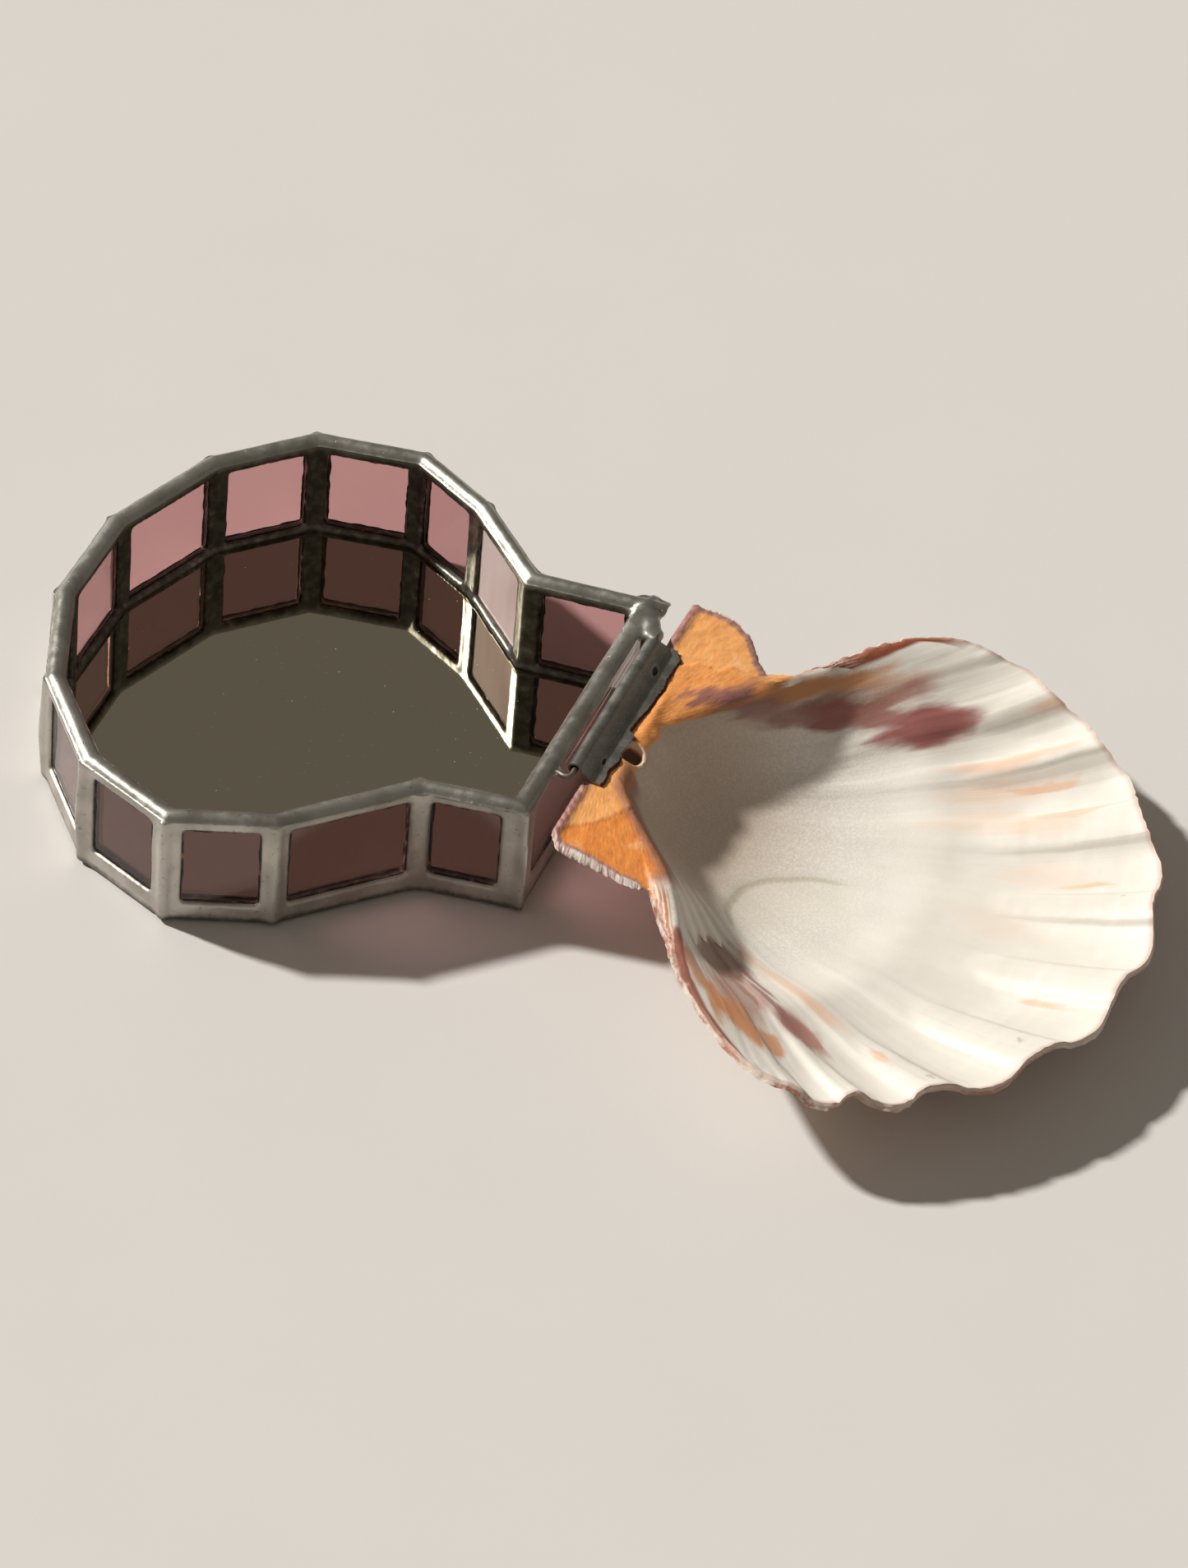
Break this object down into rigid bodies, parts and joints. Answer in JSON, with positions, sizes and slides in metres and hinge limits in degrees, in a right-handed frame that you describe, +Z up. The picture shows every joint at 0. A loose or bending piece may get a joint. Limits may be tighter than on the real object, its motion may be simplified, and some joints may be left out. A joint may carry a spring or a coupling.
{
  "type": "glass trinket box",
  "caption": "Low trinket box of pink glass panels in a soldered frame on a mirror base, with a hinged scallop shell for a lid, lying open.",
  "frame": {"origin": "under the middle of the round chamber, at the level of the table the box stands on", "axes": "+Z up; +X from the round chamber through the neck and over the open lid; +Y along the hinge, towards the lid's larger ear"},
  "size_m": [0.2352, 0.1378, 0.0291],
  "materials": {
    "mirror": "silvered glass, dusty",
    "pink_glass": "clear mauve-pink art glass",
    "solder": "tin-lead solder, dull pewter grey, pitted",
    "pin_metal": "tinned wire",
    "hinge_metal": "dark tarnished sheet, ragged edge",
    "shell": "calcium shell, pearly inside, with orange ears and maroon patches"
  },
  "bodies": {
    "box": {"mirror_base": "mirror", "glass_panel_01": "pink_glass", "glass_panel_02": "pink_glass", "glass_panel_03": "pink_glass", "glass_panel_04": "pink_glass", "glass_panel_05": "pink_glass", "glass_panel_06": "pink_glass", "glass_panel_07": "pink_glass", "glass_panel_08": "pink_glass", "glass_panel_09": "pink_glass", "glass_panel_10": "pink_glass", "glass_panel_11": "pink_glass", "glass_panel_12": "pink_glass", "glass_panel_13": "pink_glass", "glass_panel_14": "pink_glass", "solder_frame": "solder", "hinge_pin": "pin_metal"},
    "lid": {"hinge_plate": "hinge_metal", "scallop_shell": "shell"}
  },
  "joints": [
    {"name": "lid_hinge", "type": "hinge", "parent": "box", "child": "lid", "pos_m": [0.0708, 0, 0.02755], "axis": [0, -1, 0], "range_deg": [0, 184.8]}
  ]
}
